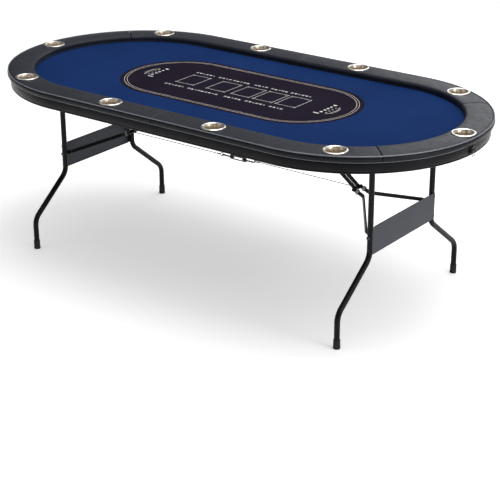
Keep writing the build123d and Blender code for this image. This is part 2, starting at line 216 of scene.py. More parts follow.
def cloth_look(name, dark, light, fleck):
    """Short-pile cloth: crossed threads under brushed fibres, with some lint."""
    look = Look(name, dark, 0.92, Specular_IOR_Level=0.035)
    look.shader.inputs["Sheen Weight"].default_value = 0.02
    look.shader.inputs["Sheen Roughness"].default_value = 0.55
    look.shader.inputs["Sheen Tint"].default_value = (*[min(1, c * 3 + 0.08) for c in light], 1)
    fibre = look.noise(900, 5, stretch=(1.0, 0.28, 1.0), distortion=1.5)
    fibre_b = look.noise(1100, 5, stretch=(0.3, 1.0, 1.0), distortion=1.5)
    pile = look.noise(160, 4)
    cloud = look.noise(3.2, 4)
    threads = look.math("MULTIPLY", look.waves(520, "X", 0.6), look.waves(520, "Y", 0.6))
    tone = look.ramp(cloud, (0.25, dark), (0.75, light))
    nap = look.ramp(look.math("MULTIPLY", fibre, fibre_b), (0.1, 0.72), (0.4, 1.22))
    tone = look.mix(0.6, tone, nap, "MULTIPLY")
    lint = look.ramp(look.noise(2100, 2), (0.70, 0.0), (0.80, 1.0))
    look.color(look.mix(look.math("MULTIPLY", lint, 0.22), tone, fleck))
    look.rough(look.span(pile, 0.84, 0.97))
    look.bump(pile, 0.0004, 0.25)
    look.bump(look.math("ADD", fibre, fibre_b), 0.00022, 0.55)
    look.bump(threads, 0.00008, 0.4)
    return look.mat


def brushed(name, color, dark, roughness, stretch, metallic=1.0):
    """Drawn or rolled metal, streaked along the axis that stretch makes small."""
    look = Look(name, color, roughness, metallic)
    streak = look.noise(900, 4, stretch=stretch)
    smudge = look.noise(22, 4)
    tone = look.ramp(smudge, (0.25, dark), (0.7, color))
    look.color(look.mix(0.5, tone, look.ramp(streak, (0.2, 0.72), (0.8, 1.12)), "MULTIPLY"))
    base = look.span(smudge, roughness - 0.04, roughness + 0.07)
    look.rough(look.math("ADD", look.span(streak, -0.05, 0.05), base))
    look.bump(streak, 0.00003, 0.4)
    return look.mat


def spun(name, color, dark, roughness, highlight_fans=0.0):
    """Turned metal: fine rings about the piece's own Z axis, with painted highlights streaked round it."""
    look = Look(name, color, roughness, 1.0)
    split = look.nodes.new("ShaderNodeSeparateXYZ")
    look.links.new(look.coords, split.inputs[0])
    squares = [look.math("POWER", split.outputs[axis], 2.0) for axis in "XY"]
    radius = look.math("SQRT", look.math("ADD", *squares))
    join = look.nodes.new("ShaderNodeCombineXYZ")
    look.links.new(radius, join.inputs["X"])
    look.links.new(split.outputs["Z"], join.inputs["Y"])
    rings = look.noise(1400, 3, source=join.outputs[0])
    broad = look.noise(150, 2, source=join.outputs[0])
    smudge = look.noise(30, 4)
    tone = look.ramp(broad, (0.3, dark), (0.7, color))
    tone = look.mix(0.6, tone, look.ramp(rings, (0.25, 0.7), (0.75, 1.15)), "MULTIPLY")
    # Painted highlights: light and dark streaks round the axis are multiplied into the colour and stand in
    # for reflections in the spun wall.
    if highlight_fans:
        around = look.nodes.new("ShaderNodeCombineXYZ")
        for axis in "XY":
            look.links.new(look.math("DIVIDE", split.outputs[axis], radius), around.inputs[axis])
        highlight_noise = look.noise(2.3, 2, source=around.outputs[0])
        painted_highlight = look.ramp(highlight_noise, (0.40, 0.12), (0.50, 0.55), (0.58, 1.0), (0.66, 0.42))
        tone = look.mix(highlight_fans, tone, painted_highlight, "MULTIPLY")
    look.color(tone)
    base = look.span(smudge, roughness - 0.03, roughness + 0.05)
    look.rough(look.math("ADD", look.span(rings, -0.05, 0.07), base))
    look.bump(rings, 0.00006, 0.5)
    return look.mat


def enamel(name, dark, light, roughness, peel=0.00006, specular=0.4):
    """Powder coat or sprayed paint: orange peel, dust nibs and rubbed patches."""
    look = Look(name, dark, roughness, Specular_IOR_Level=specular)
    peeling = look.noise(420, 2)
    nibs = look.cells(260, "F1")
    patch = look.noise(14, 5)
    scuff = look.ramp(look.noise(60, 6, stretch=(1, 1, 0.25), distortion=1.2), (0.62, 0.0), (0.72, 1.0))
    tone = look.ramp(patch, (0.3, dark), (0.75, light))
    worn = tuple(min(1, c * 1.8 + 0.01) for c in light)
    look.color(look.mix(look.math("MULTIPLY", scuff, 0.25), tone, worn))
    base = look.span(patch, roughness - 0.05, roughness + 0.06)
    look.rough(look.math("ADD", base, look.math("MULTIPLY", scuff, 0.12)))
    look.bump(peeling, peel, 0.6)
    look.bump(look.ramp(nibs, (0.0, 1.0), (0.12, 0.0)), 0.00005, 0.4)
    return look.mat


def rubber_look():
    look = Look("moulded_rubber", (0.012, 0.012, 0.013), 0.78, Specular_IOR_Level=0.3)
    grain = look.noise(900, 4)
    dust = look.noise(40, 5)
    look.color(look.ramp(dust, (0.35, (0.010, 0.010, 0.011)), (0.8, (0.028, 0.028, 0.028))))
    look.rough(look.span(dust, 0.7, 0.9))
    look.bump(grain, 0.0001, 0.5)
    look.bump(look.waves(190, "Z"), 0.0002, 0.25)
    return look.mat


def board_look(name, dark, light, roughness, grain_axis):
    """Stained or painted wood, with its figure drawn out along one axis."""
    look = Look(name, dark, roughness, Specular_IOR_Level=0.3)
    stretch = {"X": (0.06, 1, 1), "Y": (1, 0.06, 1)}[grain_axis]
    figure = look.noise(34, 6, stretch=stretch, distortion=1.4)
    pores = look.noise(700, 4, stretch=stretch)
    tone = look.ramp(figure, (0.25, dark), (0.5, light), (0.75, dark))
    look.color(look.mix(0.55, tone, look.ramp(pores, (0.3, 0.5), (0.62, 1.05)), "MULTIPLY"))
    look.rough(look.span(figure, roughness - 0.08, roughness + 0.1))
    look.bump(pores, 0.0002, 0.5)
    look.bump(figure, 0.0003, 0.3)
    return look.mat


RAIL = leatherette("rail_leatherette", (0.0105, 0.0130, 0.0200), (0.0185, 0.0225, 0.0325), 0.37, 0.19)
# The welt's light colour is a painted highlight: it stands in for the bright line of light along the rail's
# top outer edge and its lower edge.
HIGHLIGHT_WELT = leatherette("welt_painted_highlight", (0.110, 0.117, 0.138), (0.150, 0.158, 0.182), 0.22, 0.90)
# A darker copy of the rail's vinyl for the pad's outer side: painted shade on the side faces.
SHADED_PAD_SIDE = leatherette("pad_side_painted_shade", (0.0046, 0.0056, 0.0086), (0.0085, 0.0102, 0.015), 0.34, 0.17)
# Apron cover: near-black, partly the cover's own dark vinyl and partly painted shade on the outward faces.
SIDE_DARK_AND_SHADED = leatherette("side_leatherette", (0.0016, 0.0019, 0.0030), (0.0034, 0.0038, 0.0058), 0.32, 0.14)
FELT = cloth_look("blue_cloth", (0.0045, 0.0205, 0.088), (0.0070, 0.0268, 0.110), (0.05, 0.10, 0.27))
FIELD = cloth_look("printed_field", (0.0085, 0.0058, 0.0128), (0.0135, 0.0098, 0.0200), (0.07, 0.06, 0.10))
LINE = cloth_look("printed_line", (0.62, 0.56, 0.49), (0.78, 0.72, 0.65), (0.86, 0.84, 0.80))
MARK = cloth_look("printed_mark", (0.62, 0.60, 0.58), (0.80, 0.78, 0.76), (0.9, 0.9, 0.9))
# The cups' insides carry painted highlight streaks round the axis.
CUP_INSIDE = spun("cup_brushed_painted_highlights", (0.98, 0.91, 0.79), (0.88, 0.75, 0.58), 0.34, 0.48)
CUP_LIP = spun("cup_polished_lip", (0.92, 0.90, 0.86), (0.80, 0.77, 0.72), 0.13)
COAT = enamel("powder_coat", (0.0022, 0.0022, 0.0028), (0.0042, 0.0042, 0.0052), 0.31, specular=0.14)
PANEL = enamel("panel_paint", (0.032, 0.036, 0.046), (0.040, 0.045, 0.056), 0.44, 0.00003, 0.20)
LATCH = enamel("latch_enamel", (0.008, 0.008, 0.009), (0.014, 0.014, 0.015), 0.30)
ZINC = brushed("dull_zinc", (0.24, 0.235, 0.22), (0.12, 0.116, 0.108), 0.34, (1, 0.1, 1))
DARK_ZINC = brushed("darkened_zinc", (0.085, 0.085, 0.088), (0.035, 0.035, 0.037), 0.36, (1, 0.1, 1))
STRAND = brushed("wire_strand", (0.024, 0.024, 0.026), (0.010, 0.010, 0.011), 0.45, (0.2, 1, 1), 0.7)
RUBBER = rubber_look()
BOARD = board_look("stained_board", (0.020, 0.016, 0.013), (0.040, 0.032, 0.026), 0.6, "X")
BATTEN = board_look("painted_batten", (0.010, 0.010, 0.010), (0.018, 0.018, 0.018), 0.5, "Y")


# ---- mesh helpers -----------------------------------------------------------------------------
def add_object(name, points, faces, materials, body, flip=False, split=None, smooth_angle=40):
    """A mesh piece in metres from points in mm, which rides on a body."""
    if flip:
        faces = [tuple(reversed(f)) for f in faces]
    mesh = bpy.data.meshes.new(name)
    mesh.from_pydata([Vector(p) * MM for p in points], [], faces)
    mesh.validate()
    work = bmesh.new()
    work.from_mesh(mesh)
    bmesh.ops.remove_doubles(work, verts=work.verts, dist=2e-6)
    work.to_mesh(mesh)
    work.free()
    for material in materials if isinstance(materials, (list, tuple)) else [materials]:
        mesh.materials.append(material)
    if split:
        for polygon in mesh.polygons:
            polygon.material_index = split(polygon.center)
    smooth(mesh, smooth_angle)
    piece = bpy.data.objects.new(name, mesh)
    bpy.context.scene.collection.objects.link(piece)
    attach(piece, body)
    return piece


def smooth(mesh, angle):
    mesh.shade_smooth()
    mesh.set_sharp_from_angle(angle=math.radians(angle))


def grid_faces(rows, columns, wrap_columns=False):
    faces = []
    for i in range(rows - 1):
        for j in range(columns if wrap_columns else columns - 1):
            low, high, right = i * columns, (i + 1) * columns, (j + 1) % columns
            faces.append((low + j, high + j, high + right, low + right))
    return faces


def end_faces(rows, columns):
    """The two faces that close a tube made of rows of columns."""
    last = (rows - 1) * columns
    return [tuple(range(columns - 1, -1, -1)), tuple(last + i for i in range(columns))]


def spacing(length, step, fine=()):
    """Distances from 0 to length about one step apart, with the fine distances at both ends."""
    count = max(2, round(length / step))
    places = {0.0, length}
    places |= {length * i / count for i in range(count + 1) if 7 < length * i / count < length - 7}
    places |= {d for d in fine} | {length - d for d in fine}
    return sorted(places)


def circle(cx, cy, radius, count):
    steps = [2 * math.pi * i / count for i in range(count)]
    return [(cx + radius * math.cos(a), cy + radius * math.sin(a)) for a in steps]


def half_path(arc_x, line_radius, start):
    """The +X half of a stadium: a function of the distance along line_radius, from the front
    end of the fold line, that gives (centre x, normal x, normal y), and the whole length."""
    straight = arc_x - start
    turn = math.pi * line_radius
    total = 2 * straight + turn

    def station(distance):
        if distance <= straight:
            return start + distance, 0.0, -1.0
        if distance >= straight + turn:
            return start + total - distance, 0.0, 1.0
        angle = (distance - straight) / line_radius - math.pi / 2
        return arc_x, math.cos(angle), math.sin(angle)

    return station, total


def cup_places(sign):
    angle = math.radians(CUP_ARC_ANGLE)
    x, y = ARC_X + RAIL_LINE * math.cos(angle), RAIL_LINE * math.sin(angle)
    places = [(CUP_SIDE_X, -RAIL_LINE), (x, -y), (ARC_X + RAIL_LINE, 0.0), (x, y), (CUP_SIDE_X, RAIL_LINE)]
    return [(sign * px, py) for px, py in places]


def cut_out(piece, cutters):
    """Cuts the cutters out of a closed piece, and removes them."""
    for cutter in cutters:
        cut = piece.modifiers.new("cut", "BOOLEAN")
        cut.operation = "DIFFERENCE"
        cut.solver = "EXACT"
        cut.object = cutter
    bpy.context.view_layer.update()
    result = bpy.data.meshes.new_from_object(piece.evaluated_get(bpy.context.evaluated_depsgraph_get()))
    piece.modifiers.clear()
    piece.data = result
    for cutter in cutters:
        bpy.data.objects.remove(cutter)
    smooth(result, 38)


# ---- padded rail ----------------------------------------------------------------------------
# Across the pad: distance out from the inner edge, and height, in mm. Anticlockwise from the
# inner bottom corner.
PAD_PROFILE = [
    (5.0, 734.3), (1.2, 734.5), (0.7, 736.0), (0.6, 738.6), (1.0, 740.6), (2.4, 741.8),
    (1.0, 743.2), (0.1, 746.0), (0.0, 749.5), (0.5, 752.8), (1.8, 756.0), (4.2, 758.6),
    (7.6, 759.9), (12.0, 760.6), (18.0, 761.1), (26.0, 761.6), (36.0, 761.9), (48.0, 761.95),
    (60.0, 761.7), (72.0, 761.2), (82.0, 760.5), (90.0, 759.7), (96.0, 758.9), (100.5, 758.0),
    (103.4, 757.2), (105.2, 756.2), (105.9, 755.2), (106.6, 754.2), (108.0, 753.6), (110.0, 752.6),
    (111.2, 750.2), (111.9, 746.5), (112.0, 742.5), (111.6, 738.8), (110.4, 736.0), (108.0, 734.4),
    (104.0, 734.1), (90.0, 734.05), (70.0, 734.05), (50.0, 734.05), (30.0, 734.05), (15.0, 734.1),
]
PAD_MIDDLE = (56.0, 747.5)
PAD_CROWN = 761.98
PAD_END = 6.4  # length over which a pad's end is rounded
PAD_END_STEPS = (0.25, 0.7, 1.4, 2.3, 3.4, 4.8, PAD_END)
PAD_END_DRAW = 4.0
SEAM_GAP = 0.4
PAD_SIDE_FROM = 106.1  # the painted shade on the pad's outer side begins here, counted from the inner edge
PAD_SIDE_BELOW = 754.2
LIP_REACH = 46.0
LIP_REST = 760.1  # the pad's height under a cup's lip


def pad_point(sign, station, out, height, inset):
    """A point of the pad, drawn in at the pad's ends, dimpled, and puckered round the cups."""
    centre_x, nx, ny = station
    mid_out, mid_height = PAD_MIDDLE
    out = mid_out + (out - mid_out) * (1 - inset / mid_out)
    height = mid_height + (height - mid_height) * (1 - inset / 14.0)
    radius = INNER_RADIUS + out
    x, y = sign * (centre_x + nx * radius), ny * radius
    if height > 752:
        lift = noise.noise(Vector((x / 70, y / 70, sign * 3.1))) * 0.55
        lift += noise.noise(Vector((x / 21, y / 21, 7.7))) * 0.16
        press = 0.0
        for cx, cy in cup_places(sign):
            away = math.hypot(x - cx, y - cy)
            if away < 110:
                around = math.atan2(y - cy, x - cx)
                press = max(press, math.exp(-max(0.0, away - LIP_REACH) / 9))
                pucker = math.cos(13 * around + 2 * math.sin(3 * around + cx))
                lift += 0.34 * math.exp(-max(0.0, away - LIP_REACH - 2) / 15) * pucker
        height = min(PAD_CROWN, height + lift - 0.25)
        height += press * min(1.0, max(0.0, (height - 756.6) / 2)) * (LIP_REST - height)
    return x, y, height


def outward(sign, place):
    """Distance of a place, in metres, from the middle line of its half's outline."""
    return math.hypot(max(0.0, sign * place.x - ARC_X * MM), place.y)


def rail_pad(side, name):
    """One padded length of the rail, from seam to seam or from seam to fold."""
    sign = SIDES[side]
    station, total = half_path(ARC_X, RAIL_LINE, FOLD_START)
    seam = ARC_X - FOLD_START + math.radians(90 - SEAM_ANGLE) * RAIL_LINE
    first, last, cups_here = {
        "front": (0.0, seam - SEAM_GAP, (0, 1)),
        "end": (seam + SEAM_GAP, total - seam - SEAM_GAP, (2,)),
        "back": (total - seam + SEAM_GAP, total, (3, 4)),
    }[name]
    length = last - first
    points = []
    places = spacing(length, 5.0, PAD_END_STEPS)
    for along in places:
        edge = min(along, length - along, PAD_END)
        inset = PAD_END_DRAW * (1 - math.sqrt(max(0.0, 1 - (1 - edge / PAD_END) ** 2)))
        for out, height in PAD_PROFILE:
            points.append(pad_point(sign, station(first + along), out, height, inset))
    rows, columns = len(places), len(PAD_PROFILE)
    faces = grid_faces(rows, columns, wrap_columns=True) + end_faces(rows, columns)
    body = f"{side}_half"
    pad = add_object(f"{side}_pad_{name}", points, faces, RAIL, body, flip=sign > 0)
    cutters = []
    for number in cups_here:
        cx, cy = cup_places(sign)[number]
        bpy.ops.mesh.primitive_cylinder_add(
            vertices=72, radius=CUP_BORE_RADIUS * MM, depth=0.09, location=(cx * MM, cy * MM, 0.750)
        )
        cutters.append(bpy.context.object)
    cut_out(pad, cutters)
    # Faces on the pad's outer side, below the welt, take the darker copy of the vinyl: painted shade.
    pad.data.materials.append(SHADED_PAD_SIDE)
    for polygon in pad.data.polygons:
        place = polygon.center
        beyond = outward(sign, place) > (INNER_RADIUS + PAD_SIDE_FROM) * MM
        polygon.material_index = int(beyond and place.z < PAD_SIDE_BELOW * MM)
    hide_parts(f"{side}_rail_{name}")


def swept_band(name, side, profile, material):
    """A closed profile of (radius, height) carried round the half outline from fold to fold."""
    sign = SIDES[side]
    station, total = half_path(ARC_X, RAIL_LINE, FOLD_START)
    places = spacing(total, 6.0, (0.4, 1.2, 3.0))
    points = []
    for along in places:
        centre_x, nx, ny = station(along)
        for radius, height in profile:
            points.append((sign * (centre_x + nx * radius), ny * radius, height))
    rows, columns = len(places), len(profile)
    faces = grid_faces(rows, columns, wrap_columns=True) + end_faces(rows, columns)
    return add_object(name, points, faces, material, f"{side}_half", flip=sign > 0)


def piping(radius, height, size, count):
    """A round profile, turned the same way as the other profiles."""
    return [(2 * radius - r, h) for r, h in circle(radius, height, size, count)]


APRON_PROFILE = [
    (513.2, 733.4), (513.2, 700.0), (513.2, 692.6), (514.0, 690.8), (515.8, 690.1), (518.6, 690.1),
    (520.6, 690.6), (521.6, 691.8), (522.0, 693.6), (522.0, 696.6), (521.5, 697.3), (522.0, 698.0),
    (522.0, 712.0), (522.0, 726.4), (521.4, 728.2), (520.4, 729.2), (521.2, 730.4), (521.6, 733.4),
]
# Radius, height and half thickness of the two lengths of piping, in mm.
UPPER_PIPING = (529.7, 756.5, 2.3)
LOWER_PIPING = (524.4, 732.6, 1.7)


def top_soft_goods(side):
    for name in ("front", "end", "back"):
        rail_pad(side, name)
    # Both lengths of piping take the welt material, whose light colour is a painted highlight.
    swept_band(f"{side}_welt", side, piping(*UPPER_PIPING, 14), HIGHLIGHT_WELT)
    swept_band(f"{side}_lower_welt", side, piping(*LOWER_PIPING, 10), HIGHLIGHT_WELT)
    # The apron cover's near-black colour is partly painted shade.
    apron = swept_band(f"{side}_apron_cover", side, APRON_PROFILE, SIDE_DARK_AND_SHADED)
    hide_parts(f"{side}_apron")


# ---- cloth and its print ----------------------------------------------------------------------
FIELD_ARC_X = 293.0
FIELD_RADIUS = 251.0
LINE_RADII = (232.0, 221.5)
LINE_HALF_WIDTH = 0.8
PRINT_START = 1.2
SHEET_TOP = CLOTH_TOP - 0.02
FIELD_TOP = CLOTH_TOP + 0.12
LINE_TOP = CLOTH_TOP + 0.26
PRINT_TOP = CLOTH_TOP + 0.34


def flat_half(name, side, inner, outer, height, material, step, rings=1):
    """A flat half band of print between two radii, from the fold round to the fold."""
    sign = SIDES[side]
    station, total = half_path(FIELD_ARC_X, outer, PRINT_START)
    places = spacing(total, step)
    points = []
    for along in places:
        centre_x, nx, ny = station(along)
        for ring in range(rings + 1):
            radius = inner + (outer - inner) * ring / rings
            points.append((sign * (centre_x + nx * radius), ny * radius, height))
    faces = grid_faces(len(places), rings + 1)
    return add_object(name, points, faces, material, f"{side}_half", flip=sign > 0)


def cloth(side):
    """The sheet on one half, tucked down at the rail and rolled over at the fold."""
    sign = SIDES[side]
    radius = INNER_RADIUS - 0.5
    station, total = half_path(ARC_X, radius, FOLD_START)
    places = spacing(total, 10.0, (0.3, 0.8, 1.6, 3.0))
    reach = [0, 40, 90, 140, 190, 240, 290, 330, 360, 385, 402, 412, 417, 419.4, 420.4, radius]
    tuck, tuck_length = 0.9, 1.1
    roll, roll_length = 1.1, 0.7
    points = []
    for along in places:
        centre_x, nx, ny = station(along)
        for r in reach:
            x, y = centre_x + nx * r, ny * r
            drop = tuck * math.exp(-(radius - r) / tuck_length)
            drop += roll * math.exp(-(x - FOLD_START) / roll_length)
            points.append((sign * x, y, SHEET_TOP - drop))
    faces = grid_faces(len(places), len(reach))
    name, body = f"{side}_playing_cloth", f"{side}_half"
    piece = add_object(name, points, faces, FELT, body, flip=sign > 0, smooth_angle=60)
    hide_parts(f"{side}_cloth")
    return piece


def bar(points, faces, x0, x1, y0, y1, z):
    """One flat stroke of print."""
    base = len(points)
    points += [(x0, y0, z), (x1, y0, z), (x1, y1, z), (x0, y1, z)]
    faces.append((base, base + 1, base + 2, base + 3))


def outline(points, faces, ring, z):
    base = len(points)
    points += [(x, y, z) for x, y in ring]
    faces.append(tuple(range(base, base + len(ring))))


def stalk(cx, low, low_half, high, high_half):
    return [(cx - low_half, low), (cx + low_half, low), (cx + high_half, high), (cx - high_half, high)]


def suit(points, faces, kind, cx, cy, size, z):
    """One plain card-suit pip, size wide, centred on cx, cy."""
    s = size / 2
    if kind == "diamond":
        ring = [(cx, cy - s * 1.15), (cx + s * 0.8, cy), (cx, cy + s * 1.15), (cx - s * 0.8, cy)]
        outline(points, faces, ring, z)
        return
    if kind == "club":
        for i, (dx, dy) in enumerate(((-0.45, -0.1), (0.45, -0.1), (0, 0.55))):
            outline(points, faces, circle(cx + dx * s, cy + dy * s, s * 0.46, 20), z + 0.02 * i)
        outline(points, faces, stalk(cx, cy - s, 0.3 * s, cy + 0.1 * s, 0.08 * s), z + 0.06)
        return
    up = 1 if kind == "heart" else -1
    ring = []
    for i in range(40):
        t = 2 * math.pi * i / 40
        x = 16 * math.sin(t) ** 3
        y = 13 * math.cos(t) - 5 * math.cos(2 * t) - 2 * math.cos(3 * t) - math.cos(4 * t)
        ring.append((cx + up * x * s / 16, cy + up * (y + 2) * s / 16))
    outline(points, faces, ring, z)
    if kind == "spade":
        outline(points, faces, stalk(cx, cy - 1.1 * s, 0.35 * s, cy, 0.07 * s), z + 0.04)


CARD_BOXES = {"left": ((-277, -188), (-122, -30)), "right": ((2, 91), (110, 201), (219, 310))}
CARD_LOW, CARD_HIGH = -55.0, 59.0
SUITS = ("spade", "heart", "club", "diamond")
# Rows of pips on each half: Y, then the first X and the number of pips of each group.
PIP_ROWS = {
    "left": ((-98.0, ((-292, 6), (-174, 5), (-88, 4))), (94.0, ((-284, 6), (-166, 4), (-92, 5)))),
    "right": ((-98.0, ((10, 5), (112, 6), (228, 4))), (94.0, ((16, 4), (98, 5), (194, 6)))),
}
PIP_PITCH = 17.0


def card_boxes(side):
    """The card outlines of one half, each of four strokes that overrun its corners a little."""
    points, faces = [], []
    half, over, z = 0.95, 4.0, PRINT_TOP
    for x0, x1 in CARD_BOXES[side]:
        low_x = max(x0 - over, PRINT_START) if side == "right" else x0 - over
        for y in (CARD_LOW, CARD_HIGH):
            bar(points, faces, low_x, x1 + over, y - half, y + half, z)
        for x in (x0, x1):
            bar(points, faces, x - half, x + half, CARD_LOW - over, CARD_HIGH + over, z + 0.03)
        for y, step in ((CARD_LOW, 1), (CARD_HIGH, -1)):
            tick_y = sorted((y + step * 5.6, y + step * 6.6))
            for x, across in ((x0, 1), (x1, -1)):
                bar(points, faces, *sorted((x + across * 5, x + across * 12)), *tick_y, z)
    return add_object(f"{side}_print_card_boxes", points, faces, MARK, f"{side}_half")


def print_arc(points, faces, sign, inner, outer, spread):
    """A thin arc of print near the end of the field, spread degrees to each side."""
    centre = 348
    turns = [math.radians(a) for a in range(-spread, spread + 1, 3)]
    ring = []
    for reach, order in ((outer - centre, turns), (inner - centre, turns[::-1])):
        ring += [(sign * (centre + reach * math.cos(a)), reach * math.sin(a)) for a in order]
    outline(points, faces, ring, PRINT_TOP)


def print_marks(side):
    """Rows of plain suit pips and strokes beside the card boxes, and an ornament at the end."""
    sign = SIDES[side]
    points, faces = [], []
    z = PRINT_TOP
    for y, groups in PIP_ROWS[side]:
        for x0, count in groups:
            for i in range(count):
                x = x0 + PIP_PITCH * i
                if i % 3 == 2:
                    suit(points, faces, "diamond", x, y, 9.0, z)
                elif i % 3 == 1:
                    suit(points, faces, SUITS[(i + count) % 3], x, y, 12.5, z)
                else:
                    bar(points, faces, x - 5.5, x - 2.8, y - 6.0, y + 6.0, z)
                    bar(points, faces, x - 5.5, x + 4.5, y - 1.2, y + 1.2, z + 0.03)
                    bar(points, faces, x + 1.8, x + 4.5, y - 6.0, y + 6.0, z + 0.06)
    bar(points, faces, *sorted((sign * 398.0, sign * 424.0)), -61.0, -54.0, z)
    suit(points, faces, "heart", sign * 420.0, 58.0, 17.0, z)
    for i, y in enumerate((-33.0, -11.0, 11.0, 33.0)):
        suit(points, faces, SUITS[i], sign * 420.0, y, 14.0, z)
        bar(points, faces, *sorted((sign * 436.0, sign * 446.0)), y - 1.4, y + 1.4, z)
    print_arc(points, faces, sign, 459.0, 461.0, 27)
    print_arc(points, faces, sign, 465.5, 467.0, 18)
    piece = add_object(f"{side}_print_marks", points, faces, MARK, f"{side}_half")
    upright(piece)
    return piece


def upright(piece):
    """Turns every flat face of a print to look up."""
    work = bmesh.new()
    work.from_mesh(piece.data)
    bmesh.ops.reverse_faces(work, faces=[f for f in work.faces if f.normal.z < 0])
    work.to_mesh(piece.data)
    work.free()


def playing_surface(side):
    sheet = cloth(side)
    prints = [flat_half(f"{side}_print_field", side, 0.0, FIELD_RADIUS, FIELD_TOP, FIELD, 8.0, 6)]
    for number, radius in enumerate(LINE_RADII, 1):
        low, high = radius - LINE_HALF_WIDTH, radius + LINE_HALF_WIDTH
        name = f"{side}_print_line_{number}"
        prints.append(flat_half(name, side, low, high, LINE_TOP, LINE, 6.0))
    prints += [card_boxes(side), print_marks(side)]


# ---- spun cups ----------------------------------------------------------------------------------
# Radius and height, in mm: the inside from the middle of the floor up, the lip, and the outside.
CUP_PROFILE = [
    (0, 701.7), (8, 701.6), (9.5, 701.2), (11, 701.6), (24, 701.3), (29, 701.2), (31.2, 701.9),
    (32.4, 703.4), (32.8, 705.8), (32.8, 720), (32.75, 738), (32.9, 748), (33.4, 753.5),
    (34.4, 757.6), (35.6, 760.6), (36.9, 762.6), (38.4, 763.7), (40.6, 764.15), (43.0, 763.85),
    (45.0, 763.2), (46.3, 762.3), (46.9, 761.3), (46.5, 760.5), (45.2, 760.2), (42, 760.6),
    (38.4, 760.7), (36.8, 758.6), (35.0, 753.0), (34.0, 746.0), (34.0, 740), (34.0, 704.0),
    (33.4, 701.6), (31.6, 700.3), (29, 700.0), (12, 700.0), (10.5, 700.8), (0, 700.9),
]


def cups(side):
    """The cups, each with its own origin on its axis, so that the metal's rings follow it."""
    count = 96
    points = [
        (x, y, height - CUP_BOTTOM)
        for radius, height in CUP_PROFILE
        for x, y in circle(0, 0, radius, count)
    ]
    faces = grid_faces(len(CUP_PROFILE), count, wrap_columns=True)
    lip_from = (RAIL_TOP - CUP_BOTTOM) * MM
    for number, (x, y) in enumerate(cup_places(SIDES[side]), 1):
        piece = add_object(
            f"{side}_spun_cup_{number}", points, faces, [CUP_INSIDE, CUP_LIP], f"{side}_half",
            flip=True, split=lambda place: int(place.z > lip_from), smooth_angle=50,
        )
        piece.matrix_world = Matrix.Translation(Vector((x, y, CUP_BOTTOM)) * MM)
        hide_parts(f"{side}_cup_{number}")


# ---- cable ----------------------------------------------------------------------------------------
def tube(points, faces, line, radius, count=7):
    """Adds a round tube along a line of points, all in mm."""
    base = len(points)
    frame_up = Vector((0.0, 0.31, 0.95))
    for i, p in enumerate(line):
        ahead = Vector(line[min(i + 1, len(line) - 1)]) - Vector(line[max(i - 1, 0)])
        side = ahead.cross(frame_up).normalized()
        up = side.cross(ahead).normalized()
        for j in range(count):
            a = 2 * math.pi * j / count
            points.append(Vector(p) + side * radius * math.cos(a) + up * radius * math.sin(a))
    for i in range(len(line) - 1):
        for j in range(count):
            a, b = base + i * count + j, base + i * count + (j + 1) % count
            faces.append((a, b, b + count, a + count))
    faces.append(tuple(base + j for j in reversed(range(count))))
    faces.append(tuple(base + (len(line) - 1) * count + j for j in range(count)))


def laid_rope(points, faces, centreline, normals, radius, pitch):
    """Six strands twisted round a core along a centreline of points, with a normal at each."""
    core, strand = radius * 0.5, radius * 0.36
    lay = radius - strand
    travelled = [0.0]
    for a, b in zip(centreline, centreline[1:]):
        travelled.append(travelled[-1] + (Vector(b) - Vector(a)).length)
    tube(points, faces, centreline, core)
    for s in range(6):
        line = []
        for i, p in enumerate(centreline):
            before, after = centreline[max(i - 1, 0)], centreline[min(i + 1, len(centreline) - 1)]
            ahead = (Vector(after) - Vector(before)).normalized()
            normal = Vector(normals[i])
            other = ahead.cross(normal).normalized()
            a = 2 * math.pi * (travelled[i] / pitch + s / 6)
            line.append(Vector(p) + (normal * math.cos(a) + other * math.sin(a)) * lay)
        tube(points, faces, line, strand, 6)


def loop_line(x, y, radius, begin, end):
    line, normals = [], []
    count = 44
    for i in range(count + 1):
        a = begin + (end - begin) * i / count
        line.append((x + radius * math.cos(a), y, KNEE_Z + radius * math.sin(a)))
        normals.append((math.cos(a), 0, math.sin(a)))
    return line, normals


# Radius and distance along, in mm, from the loop outwards.
SLEEVE_PROFILE = [
    (0, 0), (2.3, 0), (2.75, 0.5), (2.8, 1.4), (2.45, 2.6), (2.45, 4.4), (2.8, 5.6), (2.8, 6.8),
    (2.45, 8.0), (2.45, 9.8), (2.8, 11.0), (2.8, 13.4), (2.3, 14.4), (0, 14.4),
]
SLEEVE_GAP = 2.2
ROPE_RADIUS = 1.5
ROPE_PITCH = 13.0
ROPE_STEP = 1.6
# Where the rope leaves a loop: half the angle left open, and how far on and how high it joins the line.
OPEN_ANGLE, LEAD_LENGTH, LEAD_RISE = 0.42, 3.2, 0.9


